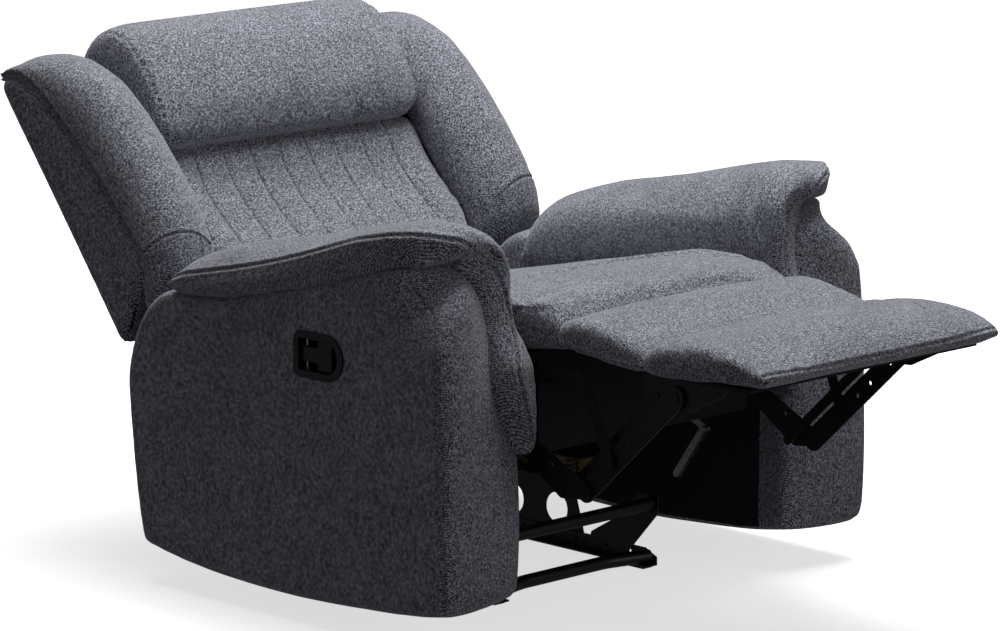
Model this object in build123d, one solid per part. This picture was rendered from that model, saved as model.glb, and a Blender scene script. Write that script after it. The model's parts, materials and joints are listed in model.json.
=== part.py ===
"""Rocker recliner armchair: leg rest out, back part reclined.

X runs across the chair (the sitter's left is +X), the chair faces -Y, and Z is up.
All sizes are in millimetres.  Side views are drawn as (y, z) outlines and cut to an
|x| range, and a left-hand piece is the mirror image of the right-hand one.
"""
from build123d import *
import math
import os

# ---------------------------------------------------------------- driving sizes
seat_gap = 600            # clear width between the two arms
arm_width = 180           # one arm, outside to inside
pad_overhang = 8          # arm pad past the arm's outer side
floor_gap = 40            # lowest point of an arm above the floor
arm_front_y = -398        # front of an arm's skin
arm_rear_y = 349          # rear of an arm's skin
back_lean = 38            # degrees from upright, as set
back_half = 440           # half width of the back's cover
back_height = 513         # cover, bottom edge to top, along the lean
back_depth = 143.5        # hinge plane to the back's rear face
cushion_half = 252        # half width of the headrest and lumbar cushions
footrest_length = 258     # leg rest pad, rear edge to front edge
footrest_thick = 45       # leg rest pad at its middle

# ---------------------------------------------------------------- stock and fits
skin = 6                  # fabric and its backing foam on the arms
cover_skin = 8            # the back's cover
ply = 11.5                # plywood of the arm frames
board = 20                # timber of the seat box
steel = 3                 # pressed steel of the mechanism
tube_d = 22               # base cross tubes
tube_wall = 1.5
fit = 0.5                 # pieces that only lie beside each other
run = 0.05                # radial clearance of a pivot
side_run = 0.2            # side clearance between a pivot's collar and its link
rivet_r = 4               # shank of the link rivets
rivet_head_r = 8
rivet_head = 1.8
pivot_r = 5               # shank of the main pivots
pivot_head_r = 9
pivot_head = 2.5
hole_r = 3.5              # spare punched holes

# ---------------------------------------------------------------- pivots, as (y, z)
arm_in = seat_gap / 2
footrest_half = arm_in - 20               # half width of the leg rest pad
chaise_half = arm_in - 28                 # half width of the pad between seat and leg rest
arm_out = arm_in + arm_width
leg_pole = (-445, 530)    # the point about which the leg rest turns
hinge_a = (-258, 356)     # lower link on the side plate
knee = (-478, 246)        # lower link to wide link
rest_pin = (hinge_a[0] * -1 + knee[0] + leg_pole[0], hinge_a[1] * -1 + knee[1] + leg_pole[1])
hook_shift = (-56, 52)    # from each wide-link pivot to the hooked link's
rod_shift = (45, -5)      # from each wide-link pivot to the control rod's
back_hinge = (190, 330)
rock_y = 80               # where the rocker cams touch
latch_pivot = (-85, 270)


def shifted(p, s):
    return (p[0] + s[0], p[1] + s[1])


hook_top = shifted(hinge_a, hook_shift)
hook_low = shifted(knee, hook_shift)
rod_low = shifted(knee, rod_shift)
rod_high = shifted(rest_pin, rod_shift)

# ---------------------------------------------------------------- layers, as |x|
rail_out = arm_in - 3                     # seat rail's outer face
rail_in = rail_out - board
plate_out = rail_in - 4                   # mechanism side plate
plate_in = plate_out - steel
link1_out = plate_in - 3                  # lower and hooked links
link1_in = link1_out - steel
link2_out = link1_in - 3                  # wide links
link2_in = link2_out - steel
link3_out = link2_in - 3                  # leg rest brackets
link3_in = link3_out - steel
link4_out = link3_in - 3                  # control rods
link4_in = link4_out - steel
front_board_half = link4_in - 8           # seat box front, between the linkages
stile_out = plate_in - 15                 # back frame
stile_width = 40
base_web = 180                            # base rail's inner face
bearer_in = base_web + steel
cam_in = 214
cam_width = 18
bearer_width = cam_in + cam_width - bearer_in


# ---------------------------------------------------------------- drawing helpers
def outline(points, corner=0):
    """A flat (y, z) or (x, z) face with straight sides, its corners rounded alike."""
    face = make_face(Polyline(*points, close=True))
    return fillet(face.vertices(), corner) if corner else face


def smooth_outline(points):
    """A flat face inside one closed smooth curve."""
    return make_face(Spline(*points, periodic=True))


def slab(face, x_from, x_to):
    """A face drawn in (y, z), cut to a range of x."""
    return extrude(Plane.YZ.offset(x_from) * face, amount=x_to - x_from)


def disc(p, radius):
    return Pos(*p) * Circle(radius)


def bar(p, q, half):
    """A flat strip with round ends, from p to q."""
    length = math.dist(p, q)
    angle = math.degrees(math.atan2(q[1] - p[1], q[0] - p[0]))
    middle = ((p[0] + q[0]) / 2, (p[1] + q[1]) / 2)
    strip = Pos(*middle) * Rot(0, 0, angle) * Rectangle(length, 2 * half)
    return strip + disc(p, half) + disc(q, half)


def between(p, q, share):
    return (p[0] + (q[0] - p[0]) * share, p[1] + (q[1] - p[1]) * share)


def punched(face, holes):
    for p, radius in holes:
        face -= disc(p, radius)
    return face


def round_x(p, radius, x_from, x_to):
    """A round bar along X through the (y, z) point p."""
    return slab(disc(p, radius), x_from, x_to)


def pivot(p, radius, head_r, steps):
    """A stepped pin along X: steps are (x_from, x_to, is_collar)."""
    solid = None
    for x_from, x_to, wide in steps:
        piece = round_x(p, head_r if wide else radius, x_from, x_to)
        solid = piece if solid is None else solid + piece
    return solid


def mirrored(shape):
    return mirror(shape, about=Plane.YZ)


def pair(name, shape):
    """Left and right nodes from the left-hand (+X) piece."""
    return {name + "_left": shape, name + "_right": mirrored(shape)}


def both(shapes):
    """One node that holds the left-hand solids and their mirror images."""
    shapes = list(shapes)
    return Compound(shapes + [mirrored(s) for s in shapes])


def group(shapes):
    return Compound(list(shapes))


# ---------------------------------------------------------------- base on the floor
foot_h = 4
rail_h = 26
flange = 24
rail_front = -206
rail_rear = 330
tube_r = tube_d / 2
tube_z = foot_h + steel + tube_r
upper_tube = (-196, 107)
bearer_top = 112
bearer_front = -10
bearer_rear = 215


def base_rail():
    web_face = outline([(rail_front, foot_h), (rail_rear, foot_h), (rail_rear, foot_h + rail_h - 8),
                        (rail_rear - 10, foot_h + rail_h), (rail_front + 26, foot_h + rail_h),
                        (rail_front, foot_h + rail_h - 12)])
    holes = [((y, foot_h + rail_h * 0.6), hole_r) for y in range(rail_front + 60, rail_rear - 40, 62)]
    web = slab(punched(web_face, holes), base_web, base_web + steel)
    foot = Box(flange, rail_rear - rail_front, steel, align=(Align.MAX, Align.MIN, Align.MIN))
    return web + Pos(base_web + steel / 2, rail_front, foot_h) * foot


def cross_tube(y, z, half):
    ring = Circle(tube_r) - Circle(tube_r - tube_wall)
    return extrude(Plane.YZ.offset(-half) * (Pos(y, z) * ring), amount=2 * half)


def front_floor_tube():
    """The tube bends forward near its ends, to meet the tips of the rails."""
    end_x, end_y = base_web - fit, rail_front + tube_r + 4
    bend_x, mid_y = 96, rail_front + tube_r + 24
    path = FilletPolyline((-end_x, end_y, tube_z), (-bend_x, mid_y, tube_z),
                          (bend_x, mid_y, tube_z), (end_x, end_y, tube_z), radius=120)
    ring = Circle(tube_r) - Circle(tube_r - tube_wall)
    start = Plane(origin=path @ 0, z_dir=path % 0)
    tube = sweep(start * ring, path=path)
    trim = Box(2 * (base_web - fit), 200, 100)
    return tube & (Pos(0, end_y, tube_z) * trim)


def base_bracket():
    y0, z0 = upper_tube
    face = outline([(y0 + 62, foot_h + steel), (y0 + 146, foot_h + steel), (y0 + 136, foot_h + 34),
                    (y0 + 76, z0 - 34), (y0 + 26, z0 + 16), (y0 - 16, z0 + 16), (y0 - 16, z0 - 14)], 5)
    face = punched(face, [((y0 + 44, z0 - 12), hole_r), ((y0 + 100, foot_h + 16), hole_r)])
    return slab(face, base_web - steel, base_web)


def rocker_bearer():
    face = outline([(bearer_front - 30, foot_h + 8), (bearer_rear + 25, foot_h + 8),
                    (bearer_rear, bearer_top), (bearer_front, bearer_top)])
    window_r = 26
    windows = [((rock_y - 52, 62), window_r), ((rock_y + 52, 62), window_r)]
    web = slab(punched(face, windows), bearer_in, bearer_in + steel)
    top = Box(bearer_width, bearer_rear - bearer_front, steel, align=(Align.MIN, Align.MIN, Align.MAX))
    return web + Pos(bearer_in, bearer_front, bearer_top) * top


def glide_feet():
    pad = Box(flange - 2, 46, foot_h, align=(Align.MAX, Align.CENTER, Align.MIN))
    spots = [rail_front + 32, rail_rear - 32]
    return both(Pos(base_web + 1, y, 0) * pad for y in spots)


def base_bolts():
    """Bolt heads on the base rails' outer faces, and the round boss on each bearer."""
    spots = [(rail_rear - 20, foot_h + 14)]
    heads = [round_x(p, 6, base_web + steel, base_web + steel + 4) for p in spots]
    boss = round_x((rock_y, 66), 13, bearer_in + steel, bearer_in + steel + 5)
    boss += round_x((rock_y, 66), 7, bearer_in + steel + 5, bearer_in + steel + 9)
    return both(heads + [boss])


spring_x = 199
spring_r = 10.5
spring_wire_r = 1.8
spring_turns = 4
shelf_z = 150
cam_gap = 2


def rocker_springs():
    """Four upright coil springs between the bearers and the cam shelves."""
    rise = shelf_z - bearer_top - 2 * spring_wire_r - 2 * fit
    path = Helix(pitch=rise / spring_turns, height=rise, radius=spring_r)
    start = Plane(origin=path @ 0, z_dir=path % 0)
    coil = sweep(start * Circle(spring_wire_r), path=path)
    spots = [rock_y - 72, rock_y + 72]
    return both(Pos(spring_x, y, bearer_top + spring_wire_r + fit) * coil for y in spots)


def make_base():
    nodes = pair("base_rail", base_rail())
    nodes.update(pair("rocker_bearer", rocker_bearer()))
    nodes["base_brackets"] = both([base_bracket()])
    nodes["base_tube_front"] = front_floor_tube()
    nodes["base_tube_upper"] = cross_tube(*upper_tube, base_web - steel)
    nodes["base_tube_rear"] = cross_tube(rail_rear - 30, tube_z, base_web - fit)
    nodes["glide_feet"] = glide_feet()
    nodes["base_bolts"] = base_bolts()
    nodes["rocker_springs"] = rocker_springs()
    return nodes


# ---------------------------------------------------------------- seat box and mechanism plates
box_front = -352
box_rear = 225
rail_top_front = 432
rail_top_rear = 345
top_board = 12
front_board_low = 281
cable_hole = (-88, 322)
cable_r = 2.5


def rail_top_at(y):
    share = (y - (box_front + 56)) / (box_rear - (box_front + 56))
    return rail_top_front + (rail_top_rear - rail_top_front) * share


def seat_rail():
    depth = 100
    face = outline([(box_front, rail_top_front), (box_front + 56, rail_top_front),
                    (box_rear, rail_top_rear), (box_rear, rail_top_rear - depth),
                    (box_front, rail_top_front - depth)])
    return slab(punched(face, [(cable_hole, cable_r + 2)]), rail_in, rail_out)


def seat_rail_front():
    upright = Box(2 * front_board_half, board, rail_top_front - front_board_low,
                  align=(Align.CENTER, Align.MIN, Align.MIN))
    shelf = Box(2 * rail_out, 56, top_board, align=(Align.CENTER, Align.MIN, Align.MIN))
    return (Pos(0, box_front, front_board_low) * upright
            + Pos(0, box_front, rail_top_front) * shelf)


def seat_rail_rear():
    """Full width below the back's hinge brackets, narrower above them."""
    low, wide_high, high = rail_top_rear - 115, back_hinge[1] - 35, rail_top_rear - 2
    wide = Box(2 * plate_in, board, wide_high - low, align=(Align.CENTER, Align.MAX, Align.MIN))
    narrow = Box(2 * front_board_half, board, high - low, align=(Align.CENTER, Align.MAX, Align.MIN))
    return Pos(0, box_rear, low) * (wide + narrow)


spring_wire = 1.9


def seat_springs():
    """Five zigzag wires from the front shelf to the rear rail."""
    front, rear = box_front + 62, box_rear - board / 2
    pitch, half_width, lift = 26, 22, spring_wire + 1
    count = int((rear - front) / pitch)
    wires = []
    for x in (-180, -90, 0, 90, 180):
        points = [(x + half_width * (1 if i % 2 else -1), front + pitch * i,
                   rail_top_at(front + pitch * i) + lift) for i in range(count + 1)]
        path = FilletPolyline(*points, radius=8)
        start = Plane(origin=path @ 0, z_dir=path % 0)
        wires.append(sweep(start * Circle(spring_wire), path=path))
    return group(wires)


def mech_plate():
    y_a, z_a = hinge_a
    y_b, z_b = hook_top
    y_h, z_h = back_hinge
    face = outline([(y_b - 30, z_b + 20), (y_b - 30, z_b - 16), (y_a - 24, z_a - 28), (y_a + 78, z_a - 60),
                    (rock_y - 152, shelf_z + 24), (rock_y - 120, shelf_z), (rock_y + 140, shelf_z),
                    (y_h + 44, shelf_z + 30), (y_h + 30, z_h + 8), (y_h + 10, z_h + 20),
                    (y_h - 60, z_h + 20), (y_a + 120, z_a + 42), (y_a + 10, z_b + 20)], 10)
    holes = [(hinge_a, pivot_r), (hook_top, pivot_r), (back_hinge, pivot_r), (cable_hole, cable_r + 1),
             (latch_pivot, rivet_r), ((rock_y - 60, 236), 34), ((rock_y + 50, 226), 34)]
    return slab(punched(face, holes), plate_in, plate_out)


def cam_shelf():
    """The shelf that carries the rocker cam and takes the springs, bolted to the side plate."""
    long = bearer_rear - bearer_front + 10
    shelf = Box(plate_in - spring_x + 14, long, steel, align=(Align.MAX, Align.CENTER, Align.MIN))
    upstand = Box(steel, long, 30, align=(Align.MAX, Align.CENTER, Align.MIN))
    return Pos(plate_in, rock_y + 20, shelf_z) * shelf + Pos(plate_in, rock_y + 20, shelf_z) * upstand


def rocker_cam():
    radius = 450
    half = 104
    low = bearer_top + cam_gap
    rise = radius - math.sqrt(radius ** 2 - half ** 2)
    edge = Polyline((rock_y + half, low + rise), (rock_y + half, shelf_z),
                    (rock_y - half, shelf_z), (rock_y - half, low + rise))
    arc = ThreePointArc((rock_y - half, low + rise), (rock_y, low), (rock_y + half, low + rise))
    return slab(make_face(Curve() + [edge, arc]), cam_in, cam_in + cam_width)


def frame_pins():
    """Main pivots, riveted into the side plates: lower link, hooked link and back hinge."""
    head = (plate_out, plate_out + pivot_head, True)
    lower = pivot(hinge_a, pivot_r, pivot_head_r,
                  [head, (link1_out + side_run, plate_in, True), (link1_in - 8, plate_out, False)])
    hooked = pivot(hook_top, pivot_r, pivot_head_r,
                   [head, (link1_out + side_run, plate_in, True), (link1_in - 1, plate_out, False),
                    (link1_in - side_run - rivet_head, link1_in - side_run, True)])
    back = pivot(back_hinge, pivot_r, pivot_head_r,
                 [head, (stile_out + steel + side_run, plate_in, True), (stile_out - 2, plate_out, False),
                  (stile_out - side_run - rivet_head, stile_out - side_run, True)])
    return group([*both([lower, hooked, back]).solids(), mirrored(latch_pin())])


def plated_struts():
    """A zinc-plated tie on each side plate's lower front edge."""
    low, high = (-200, 150), (-258, 232)
    face = bar(low, high, 6)
    ear = bar(high, (high[0] + 60, high[1] + 26), 6)
    return both([slab(face, link4_in - 14, link4_in - 4),
                 slab(ear, link4_in - 4, link4_in - 1)])


latch_x = link3_in - 1


def latch_hook():
    y, z = latch_pivot
    face = bar((y, z), (y - 34, z - 26), 9) + bar((y - 34, z - 26), (y - 26, z - 46), 6)
    face += bar((y, z), (y + 8, z + 38), 7)
    face = punched(face, [(latch_pivot, rivet_r + run), ((y + 8, z + 38), 2)])
    return slab(face, latch_x, latch_x + steel)


def latch_pin():
    inner = (latch_x - side_run - rivet_head, latch_x - side_run, True)
    collar = (latch_x + steel + side_run, plate_in, True)
    return pivot(latch_pivot, rivet_r, rivet_head_r,
                 [inner, collar, (latch_x - 1, plate_out, False)])


# ---------------------------------------------------------------- arms
arm_bottom = floor_gap
arm_profile_top = [(249, 487), (164, 491), (45, 512), (-72, 539), (-186, 569), (-254, 590), (-309, 594)]
arm_rear_pts = [(294, 460), (325, 415), (arm_rear_y, 345), (arm_rear_y - 2, 296),
                (arm_rear_y - 16, 166), (arm_rear_y - 32, arm_bottom + 29)]
arm_front_pts = [(-364, 559), (-388, 516), (arm_front_y, 410), (arm_front_y - 2, 255),
                 (arm_front_y + 3, 161), (arm_front_y + 12, arm_bottom + 24)]


def arm_profile():
    """Side view of an arm: a sagging curved bottom with a short flat foot in front."""
    rear_foot = arm_rear_pts[-1]
    front_foot = arm_front_pts[-1]
    foot_end = (front_foot[0] + 72, front_foot[1] + 3)
    lowest = ((rear_foot[0] + foot_end[0]) / 2 + 30, arm_bottom)
    top = Polyline(foot_end, front_foot, *reversed(arm_front_pts[:-1]),
                   *reversed(arm_profile_top), *arm_rear_pts)
    bottom = ThreePointArc(rear_foot, lowest, foot_end)
    return make_face(Curve() + [top, bottom])


def bezel_outline(grow):
    """The handle surround: square-cornered behind, half round in front."""
    rear, half = bezel_mid[0] + bezel_long / 2 + grow, bezel_high / 2 + grow
    front = bezel_mid[0] - bezel_long / 2 - grow
    body = outline([(rear, bezel_mid[1] - half), (rear, bezel_mid[1] + half),
                    (front + half, bezel_mid[1] + half), (front + half, bezel_mid[1] - half)])
    square = [v for v in body.vertices() if v.X > bezel_mid[0] + 1]
    body = fillet(square, 16 + grow)
    return body + disc((front + half, bezel_mid[1]), half)


bezel_mid = (-115, 435)
bezel_long = 112
bezel_high = 74
bezel_rim = 9
bezel_proud = 4
bezel_depth = 27
bezel_wall = 2.5
grip_top = (-128, 435)


def arm_cover(side):
    """Fabric skin round one arm, open underneath.  side is +1 for the left arm."""
    profile = arm_profile()
    outer = slab(profile, arm_in, arm_out)
    core_face = offset(profile, amount=-skin, kind=Kind.INTERSECTION)
    core = slab(core_face, arm_in + skin, arm_out - skin)
    front, rear = arm_front_y + 12 + skin, arm_rear_y - 32 - skin
    mouth = Box(arm_width - 2 * skin, rear - front, 120, align=(Align.MIN, Align.MIN, Align.MIN))
    shell = outer - core - Pos(arm_in + skin, front, 0) * mouth
    if side > 0:
        return shell
    cup_hole = slab(bezel_outline(fit - bezel_rim), arm_out - 2 * skin, arm_out + skin)
    cable_way = round_x(cable_hole, cable_r + 2, arm_in - 1, arm_in + 2 * skin)
    return mirrored(shell - cup_hole - cable_way)


foam = 24                 # wrap between the plywood's edges and the skin
foam_front = [(-430, 20), (-343, 20), (-343, 400), (-325, 470), (-235, 560), (-235, 700), (-430, 700)]


def arm_frame(side):
    """Two plywood sides and the posts between them."""
    face = offset(arm_profile(), amount=-foam, kind=Kind.INTERSECTION) - outline(foam_front)
    inner_in = arm_in + skin + fit
    outer_out = arm_out - skin - fit
    inner = slab(face, inner_in, inner_in + ply)
    outer = slab(face, outer_out - ply, outer_out)
    gap = outer_out - inner_in - 2 * ply
    post = Box(gap, 28, 320, align=(Align.MIN, Align.CENTER, Align.MIN))
    posts = [Pos(inner_in + ply, y, 100) * post for y in (-325, 270)]
    if side > 0:
        return group([inner, outer] + posts)
    outer -= slab(bezel_outline(fit - bezel_rim), outer_out - ply - 1, outer_out + 1)
    inner -= round_x(cable_hole, cable_r + 2, inner_in - 1, inner_in + ply + 1)
    return mirrored(group([inner, outer] + posts))


pad_top_pts = [(232, 505), (230, 528), (200, 548), (84, 571), (-101, 609), (-236, 647), (-302, 661),
               (-345, 657), (-364, 645), (-372, 622), (-366, 602), (-340, 598)]


tongue_pts = [(-366, 606), (-386, 570), (-406, 518), (-416, 412), (-418, 255)]  # down its front


def arm_pad():
    """Padded arm top that overhangs the skin and runs down the arm's front as a tongue."""
    under = [(y, z + fit) for y, z in reversed(arm_profile_top) if y < 232]
    face = outline([*pad_top_pts, *under, (200, 490 + fit)])
    top = slab(face, arm_in - 4, arm_out + pad_overhang)
    inner = arm_in - 8
    tongue_face = outline([(inner, 305), (arm_in + 8, 292), (arm_in + 38, 355), (arm_in + 59, 467),
                           (arm_in + 91, 549), (arm_in + 140, 594), (arm_in + 140, 620), (inner, 620)])
    front_view = extrude(Plane.XZ.offset(-arm_front_y - 80) * tongue_face, amount=120)
    beside_arm = [(y - 2 * fit, z) for y, z in reversed(arm_front_pts[:4])]
    tongue_band = slab(outline([*tongue_pts, *beside_arm, (-345, 600)]), inner, arm_in + 140)
    return top + (tongue_band & front_view)


# ---------------------------------------------------------------- release handle on the right arm
def handle_bezel():
    """Surround and cup, let into the right arm's outer side."""
    face = arm_out + fit / 5
    rim = slab(bezel_outline(0), face, face + bezel_proud)
    cup = slab(bezel_outline(-bezel_rim), face - bezel_depth, face + bezel_proud)
    hollow = slab(bezel_outline(-bezel_rim - bezel_wall),
                  face - bezel_depth + bezel_wall, face + bezel_proud + 1)
    return mirrored(rim + cup - hollow)


handle_pin_spot = (arm_out - 8, bezel_mid[0] + bezel_long / 2 - bezel_rim - bezel_wall - 9)
handle_low = bezel_mid[1] - bezel_high / 2 + bezel_rim + bezel_wall + 1
handle_high = bezel_mid[1] + bezel_high / 2 - bezel_rim - bezel_wall - 1


def handle():
    """T-shaped pull: a stem from the pin and an upright grip at its front."""
    pin_x, pin_y = handle_pin_spot
    mid_z = bezel_mid[1]
    face = outline([(pin_y + 4, mid_z + 12), (pin_y - 30, mid_z + 12), (pin_y - 30, mid_z + 24),
                    (pin_y - 62, mid_z + 24), (pin_y - 62, mid_z - 24), (pin_y - 30, mid_z - 24),
                    (pin_y - 30, mid_z - 12), (pin_y + 4, mid_z - 12)], 3)
    grip = slab(face, pin_x - 5, pin_x + 7)
    grip = fillet(grip.faces().sort_by(Axis.X)[-1].edges(), 1.5)
    bore = Pos(pin_x, pin_y, mid_z) * Cylinder(2 + run, 40)
    return mirrored(grip - bore)


def handle_pin():
    pin_x, pin_y = handle_pin_spot
    pin = Cylinder(2, handle_high - handle_low + 2)
    return mirrored(Pos(pin_x, pin_y, bezel_mid[1]) * pin)


def release_cable():
    """Sheathed cable from the handle's cup, down inside the arm, to the latch."""
    start_x = arm_out - fit - bezel_depth
    y_c, z_c = cable_hole
    points = [(start_x, -100, 430), (start_x - 34, -100, 424), (start_x - 70, -97, 392),
              (start_x - 92, -92, 350), (start_x - 118, y_c, z_c), (plate_out, y_c, z_c)]
    path = FilletPolyline(*points, radius=[16, 40, 60, 22])
    print("release cable radii 16, 40, 60, 22; length", round(path.length))
    start = Plane(origin=path @ 0, z_dir=path % 0)
    return mirrored(sweep(start * Circle(cable_r), path=path))


# ---------------------------------------------------------------- seat
seat_half = arm_in - 8
seat_rear = 235
seat_front = -355


def seat_cushion():
    low_front = rail_top_front + top_board + 1
    face = outline([(seat_front, low_front), (seat_front - 2, 500), (-343, 528), (-290, 535), (-221, 524),
                    (-120, 494), (54, 462), (173, 438), (seat_rear, 424), (seat_rear, 386),
                    (seat_rear - 35, rail_top_at(seat_rear - 35) + 8), (box_front + 70, low_front)])
    return slab(face, -seat_half, seat_half)


board_y = (-815, -605)
board_z = 450
board_thick = 10
rest_rear = -600


def chaise_pad():
    """Soft pad that bridges seat and leg rest, and bends when the leg rest folds."""
    rear, front = seat_front - 3, rest_rear + fit
    face = outline([(rear, 476), (rear, 526), (-403, 522), (-551, 499), (front, 488),
                    (front, board_z + 3), (-565, board_z + 2), (-469, 464)])
    return slab(face, -chaise_half, chaise_half)


# ---------------------------------------------------------------- linkage
link_half = 14
wide_half = 18


def lower_link():
    face = bar(hinge_a, knee, link_half) + bar(knee, rod_low, 12) + bar(hinge_a, rod_low, 12)
    holes = [(hinge_a, pivot_r + run), (knee, rivet_r), (rod_low, rivet_r),
             (between(hinge_a, knee, 0.4), hole_r), (between(hinge_a, knee, 0.7), hole_r)]
    return slab(punched(face, holes), link1_in, link1_out)


def drive_tube():
    """Cross tube that makes both sides of the linkage move together."""
    tube = round_x(hinge_a, 11, -link1_in, link1_in)
    return tube - round_x(hinge_a, 9, -link1_in - 1, link1_in + 1)


def wide_link():
    face = bar(knee, rest_pin, wide_half)
    holes = [(knee, rivet_r + run), (rest_pin, rivet_r + run), (hook_low_on_link, rivet_r)]
    holes += [(between(knee, rest_pin, s), hole_r) for s in (0.5, 0.64, 0.86)]
    rib = bar(between(knee, rest_pin, 0.4), between(knee, rest_pin, 0.9), 2.5)
    flat = slab(punched(face + disc(hook_low_on_link, 12), holes), link2_in, link2_out)
    rib = Pos(0, 0, 0) * slab(punched(rib, []), link2_in - 1, link2_in)
    side_step = (9 * 0.68, 9 * 0.73)
    return flat + Pos(0, *side_step) * rib


hook_low_on_link = hook_low


def hooked_link():
    """The link beside the seat: bowed up and over, then down to the wide link."""
    crest, shoulder = (hook_top[0] - 156, hook_top[1] + 14), (hook_top[0] - 184, hook_top[1] - 24)
    face = bar(hook_top, crest, 10) + bar(crest, shoulder, 10) + bar(shoulder, hook_low, 10)
    holes = [(hook_top, pivot_r + run), (hook_low, rivet_r + run)]
    return slab(punched(face, holes), link1_in, link1_out)


def control_rod():
    face = punched(bar(rod_low, rod_high, 8), [(rod_low, rivet_r + run), (rod_high, rivet_r + run)])
    return slab(face, link4_in, link4_out)


def lower_link_pins():
    knee_pin = pivot(knee, rivet_r, rivet_head_r,
                     [(link1_out, link1_out + rivet_head, True), (link2_out + side_run, link1_in, True),
                      (link2_in - 1, link1_out, False),
                      (link2_in - side_run - rivet_head, link2_in - side_run, True)])
    rod_pin = pivot(rod_low, rivet_r, rivet_r + 1.5,
                    [(link1_out, link1_out + rivet_head, True), (link4_out + side_run, link1_in, True),
                     (link4_in - 1, link1_out, False),
                     (link4_in - side_run - rivet_head, link4_in - side_run, True)])
    return both([knee_pin, rod_pin])


def wide_link_pins():
    pin = pivot(hook_low, rivet_r, rivet_head_r,
                [(link2_in - rivet_head, link2_in, True), (link2_out, link1_in - side_run, True),
                 (link2_in, link1_out + 1, False),
                 (link1_out + side_run, link1_out + side_run + rivet_head, True)])
    return both([pin])


def rest_bracket():
    y, z = rest_pin
    face = outline([(y - 104, board_z), (y + 66, board_z), (y + 72, board_z - 10), (rod_high[0] + 18, z - 18),
                    (rod_high[0] - 8, z - 22), (y - 22, z - 20), (y - 96, board_z - 14)], 4)
    holes = [(rest_pin, rivet_r), (rod_high, rivet_r), ((y - 86, board_z - 8), hole_r),
             ((y - 54, board_z - 14), hole_r)]
    web = slab(punched(face, holes), link3_in, link3_out)
    flange_top = Box(22, 160, steel, align=(Align.MAX, Align.MIN, Align.MAX))
    return web + Pos(link3_in + 1, y - 98, board_z) * flange_top


def rest_pins():
    wide_pin = pivot(rest_pin, rivet_r, rivet_head_r,
                     [(link3_in - rivet_head, link3_in, True), (link3_out, link2_in - side_run, True),
                      (link3_in, link2_out + 1, False),
                      (link2_out + side_run, link2_out + side_run + rivet_head, True)])
    rod_pin = pivot(rod_high, rivet_r, rivet_head_r,
                    [(link3_out, link3_out + rivet_head, True), (link4_out + side_run, link3_in, True),
                     (link4_in - 1, link3_out, False),
                     (link4_in - side_run - rivet_head, link4_in - side_run, True)])
    return both([wide_pin, rod_pin])


def rest_board():
    length = board_y[1] - board_y[0]
    plank = Box(2 * (footrest_half - 18), length, board_thick, align=(Align.CENTER, Align.MIN, Align.MIN))
    return Pos(0, board_y[0], board_z) * plank


def rest_pad():
    low = board_z + board_thick + fit
    front = rest_rear - footrest_length
    top = low + footrest_thick
    face = outline([(rest_rear, low), (rest_rear, top - 16), (rest_rear - 85, top), (rest_rear - 134, top + 5),
                    (rest_rear - 175, top + 3), (front + 30, top - 8), (front + 3, top - 22), (front, low + 6),
                    (front + 8, low)])
    return slab(face, -footrest_half, footrest_half)


# ---------------------------------------------------------------- back, drawn upright and then leaned
def leaned(shape):
    """The back is drawn with its hinge at the origin and its front towards -Y."""
    return Pos(0, *back_hinge) * (Rot(-back_lean, 0, 0) * shape)


stile_rear = 120
stile_depth = 45
stile_low = 24
back_low = 163
back_top = back_low + back_height


def back_stiles():
    stile = Box(stile_width, stile_depth, back_top - 26 - stile_low, align=(Align.MAX, Align.MAX, Align.MIN))
    return leaned(both([Pos(stile_out, stile_rear, stile_low) * stile]))


def back_rails():
    width = 2 * (stile_out - stile_width)
    rail = Box(width, stile_depth, 50, align=(Align.CENTER, Align.MAX, Align.MIN))
    spots = [stile_low, back_low + 150, back_top - 26 - 50]
    return leaned(group(Pos(0, stile_rear, z) * rail for z in spots))


def back_hinge_bracket():
    rear = stile_rear - 8
    face = bar((0, 0), (60, 40), 16) + outline([(34, 20), (rear, 34), (rear, 150), (86, 150), (10, 14)], 4)
    holes = [((0, 0), pivot_r + run), ((100, 60), hole_r), ((100, 120), hole_r)]
    return leaned(slab(punched(face, holes), stile_out, stile_out + steel))


def back_cover():
    """Rear, side and top skins in one shell, open in front and underneath."""
    tall = back_height
    outer = Box(2 * back_half, back_depth, tall, align=(Align.CENTER, Align.MIN, Align.MIN))
    rear_edges = [e for e in outer.edges().filter_by(Axis.Z) if e.center().Y > back_depth / 2]
    outer = fillet(rear_edges, 24)
    top_edges = [e for e in outer.edges().filter_by(Axis.X) if e.center().Z > tall / 2]
    outer = fillet(top_edges, 24)
    hollow = Box(2 * (back_half - cover_skin), back_depth, tall, align=(Align.CENTER, Align.MIN, Align.MIN))
    shell = outer - Pos(0, -cover_skin, -cover_skin) * hollow
    hem = slab(outline([(-1, -1), (back_depth + 1, -1), (back_depth + 1, 0), (-1, hem_rise)]),
               -back_half - 1, back_half + 1)
    return leaned(Pos(0, 0, back_low) * (shell - hem))


hem_rise = 34             # the cover's side hems climb this much from rear to front


def back_profile(points):
    """(v, u) points, v forward of the hinge plane and u up the back, as a (y, z) outline."""
    return outline([(-v, u) for v, u in points])


wing_in = cushion_half + 4


def wing():
    """Side cushion of the back, swelling forward at its lower end."""
    top = back_top - back_low
    face = back_profile([(-60, 60 + back_low), (0, 50 + back_low), (38, 58 + back_low), (66, 78 + back_low),
                         (60, 147 + back_low), (47, 212 + back_low), (44, 307 + back_low),
                         (34, top + back_low - 130), (10, top + back_low - 80),
                         (-40, top + back_low - 20), (-60, top + back_low - cover_skin - 6)])
    return leaned(slab(face, wing_in, back_half - cover_skin - 2))


pillow_low = 440


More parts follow.
